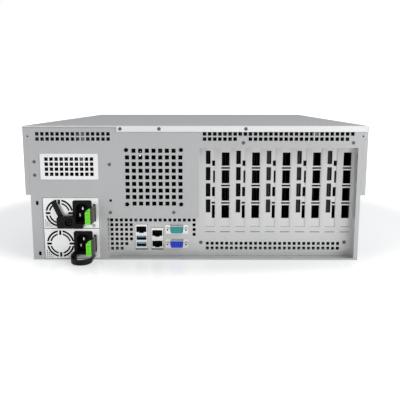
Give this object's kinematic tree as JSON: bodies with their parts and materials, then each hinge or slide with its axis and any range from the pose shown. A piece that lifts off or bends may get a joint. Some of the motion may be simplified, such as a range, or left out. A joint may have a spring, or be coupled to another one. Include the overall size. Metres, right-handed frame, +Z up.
{
  "type": "4u gpu server",
  "caption": "Rack server chassis with stacked hot-swap power supplies, recessed port panel and dual-width card slots, fan wall, disk trays and rack ears",
  "frame": {"origin": "middle of the floor's underside, between the side walls and midway between the rear and front panels", "axes": "+X is right seen from the rear, +Y points to the rack front, +Z is up; the rear panel faces -Y"},
  "size_m": [0.4826, 0.7282, 0.178],
  "materials": {
    "painted_panel": "satin silver-grey powder coat",
    "bulkhead_steel": "bright zinc-plated sheet",
    "bright_steel": "bright zinc-plated sheet",
    "cover_grey": "satin grey powder coat",
    "screw_steel": "zinc-plated steel",
    "board_green": "solder-masked board",
    "black_plastic": "moulded black plastic",
    "fan_black": "moulded black plastic",
    "jack_shell": "nickel-plated shell",
    "serial_teal": "teal moulded insert",
    "vga_blue": "blue moulded insert",
    "fin_aluminium": "plain aluminium fins",
    "bracket_steel": "nickel-plated bracket",
    "handle_aluminium": "satin anodised bar",
    "button_white": "moulded white cap",
    "standoff_brass": "turned brass",
    "psu_steel": "bright plated sheet",
    "inlet_black": "moulded black plastic",
    "latch_green": "bright green moulded cap",
    "strap_black": "black nylon",
    "shroud_black": "black shroud",
    "tray_grey": "dark grey tray",
    "lever_grey": "dark grey lever"
  },
  "bodies": {
    "chassis": {"chassis_shell": "painted_panel", "rear_panel": "painted_panel", "slot_bulkhead": "bulkhead_steel", "vent_plate": "bright_steel", "chassis_screws": "screw_steel", "psu_cage": "painted_panel", "power_board": "board_green", "rear_fan_frame": "black_plastic", "motherboard": "board_green", "lan_usb_jack": "jack_shell", "lan_jack_stack": "jack_shell", "serial_port": "serial_teal", "vga_port": "vga_blue", "cpu_heatsinks": "fin_aluminium", "memory_modules": "board_green", "riser_board": "board_green", "card_sockets": "black_plastic", "gpu_1": "shroud_black", "gpu_2": "shroud_black", "gpu_3": "shroud_black", "gpu_4": "shroud_black", "gpu_5": "shroud_black", "gpu_brackets": "bracket_steel", "gpu_ports": "jack_shell", "gpu_boards": "board_green", "fan_wall": "painted_panel", "mid_fan_frames": "black_plastic", "drive_cage": "painted_panel", "drive_backplane": "board_green", "front_panel": "painted_panel", "ear_left": "painted_panel", "ear_right": "painted_panel", "front_handles": "handle_aluminium", "board_standoffs": "standoff_brass"},
    "top_cover": {"top_cover": "cover_grey", "cover_screws": "screw_steel"},
    "psu_1": {"psu_1_case": "psu_steel", "psu_1_inlet": "inlet_black", "psu_1_strap": "strap_black"},
    "psu_1_fan": {"psu_1_fan": "fan_black"},
    "psu_1_latch": {"psu_1_latch": "latch_green"},
    "psu_2": {"psu_2_case": "psu_steel", "psu_2_inlet": "inlet_black", "psu_2_strap": "strap_black"},
    "psu_2_fan": {"psu_2_fan": "fan_black"},
    "psu_2_latch": {"psu_2_latch": "latch_green"},
    "rear_fan_rotor": {"rear_fan_rotor": "fan_black"},
    "mid_fan_rotor_1": {"mid_fan_rotor_1": "fan_black"},
    "mid_fan_rotor_2": {"mid_fan_rotor_2": "fan_black"},
    "mid_fan_rotor_3": {"mid_fan_rotor_3": "fan_black"},
    "power_button": {"power_button": "button_white"},
    "reset_button": {"reset_button": "button_white"},
    "drive_tray_1": {"drive_tray_1": "tray_grey"},
    "tray_lever_1": {"tray_lever_1": "lever_grey"},
    "drive_tray_2": {"drive_tray_2": "tray_grey"},
    "tray_lever_2": {"tray_lever_2": "lever_grey"},
    "drive_tray_3": {"drive_tray_3": "tray_grey"},
    "tray_lever_3": {"tray_lever_3": "lever_grey"},
    "drive_tray_4": {"drive_tray_4": "tray_grey"},
    "tray_lever_4": {"tray_lever_4": "lever_grey"}
  },
  "joints": [
    {"name": "cover_slide", "type": "slide", "parent": "chassis", "child": "top_cover", "axis": [0, -1, 0], "range_m": [0, 0.3]},
    {"name": "psu_1_slide", "type": "slide", "parent": "chassis", "child": "psu_1", "axis": [0, -1, 0], "range_m": [0, 0.15]},
    {"name": "psu_1_fan_spin", "type": "hinge", "parent": "psu_1", "child": "psu_1_fan", "pos_m": [-0.1802, -0.313, 0.0636], "axis": [0, 1, 0], "continuous": true},
    {"name": "psu_1_latch_press", "type": "hinge", "parent": "psu_1", "child": "psu_1_latch", "pos_m": [-0.1332, -0.322, 0.064], "axis": [0, 0, -1], "range_deg": [0, 6], "stiffness_Nm_per_rad": 0.6},
    {"name": "psu_2_slide", "type": "slide", "parent": "chassis", "child": "psu_2", "axis": [0, -1, 0], "range_m": [0, 0.15]},
    {"name": "psu_2_fan_spin", "type": "hinge", "parent": "psu_2", "child": "psu_2_fan", "pos_m": [-0.1802, -0.313, 0.0222], "axis": [0, 1, 0], "continuous": true},
    {"name": "psu_2_latch_press", "type": "hinge", "parent": "psu_2", "child": "psu_2_latch", "pos_m": [-0.1332, -0.322, 0.0226], "axis": [0, 0, -1], "range_deg": [0, 6], "stiffness_Nm_per_rad": 0.6},
    {"name": "rear_fan_spin", "type": "hinge", "parent": "chassis", "child": "rear_fan_rotor", "pos_m": [-0.0541, -0.312, 0.1112], "axis": [0, 1, 0], "continuous": true},
    {"name": "mid_fan_1_spin", "type": "hinge", "parent": "chassis", "child": "mid_fan_rotor_1", "pos_m": [-0.14, 0.083, 0.0732], "axis": [0, 1, 0], "continuous": true},
    {"name": "mid_fan_2_spin", "type": "hinge", "parent": "chassis", "child": "mid_fan_rotor_2", "pos_m": [0, 0.083, 0.0732], "axis": [0, 1, 0], "continuous": true},
    {"name": "mid_fan_3_spin", "type": "hinge", "parent": "chassis", "child": "mid_fan_rotor_3", "pos_m": [0.14, 0.083, 0.0732], "axis": [0, 1, 0], "continuous": true},
    {"name": "power_button_press", "type": "slide", "parent": "chassis", "child": "power_button", "axis": [0, -1, 0], "range_m": [0, 0.0015], "stiffness_N_per_m": 400},
    {"name": "reset_button_press", "type": "slide", "parent": "chassis", "child": "reset_button", "axis": [0, -1, 0], "range_m": [0, 0.001], "stiffness_N_per_m": 400},
    {"name": "tray_1_slide", "type": "slide", "parent": "chassis", "child": "drive_tray_1", "axis": [0, 1, 0], "range_m": [0, 0.13]},
    {"name": "tray_1_lever_swing", "type": "hinge", "parent": "drive_tray_1", "child": "tray_lever_1", "pos_m": [-0.1148, 0.3223, 0.0179], "axis": [0, 0, -1], "range_deg": [0, 60]},
    {"name": "tray_2_slide", "type": "slide", "parent": "chassis", "child": "drive_tray_2", "axis": [0, 1, 0], "range_m": [0, 0.13]},
    {"name": "tray_2_lever_swing", "type": "hinge", "parent": "drive_tray_2", "child": "tray_lever_2", "pos_m": [-0.0072, 0.3223, 0.0179], "axis": [0, 0, -1], "range_deg": [0, 60]},
    {"name": "tray_3_slide", "type": "slide", "parent": "chassis", "child": "drive_tray_3", "axis": [0, 1, 0], "range_m": [0, 0.13]},
    {"name": "tray_3_lever_swing", "type": "hinge", "parent": "drive_tray_3", "child": "tray_lever_3", "pos_m": [0.1004, 0.3223, 0.0179], "axis": [0, 0, -1], "range_deg": [0, 60]},
    {"name": "tray_4_slide", "type": "slide", "parent": "chassis", "child": "drive_tray_4", "axis": [0, 1, 0], "range_m": [0, 0.13]},
    {"name": "tray_4_lever_swing", "type": "hinge", "parent": "drive_tray_4", "child": "tray_lever_4", "pos_m": [0.208, 0.3223, 0.0179], "axis": [0, 0, -1], "range_deg": [0, 60]}
  ]
}
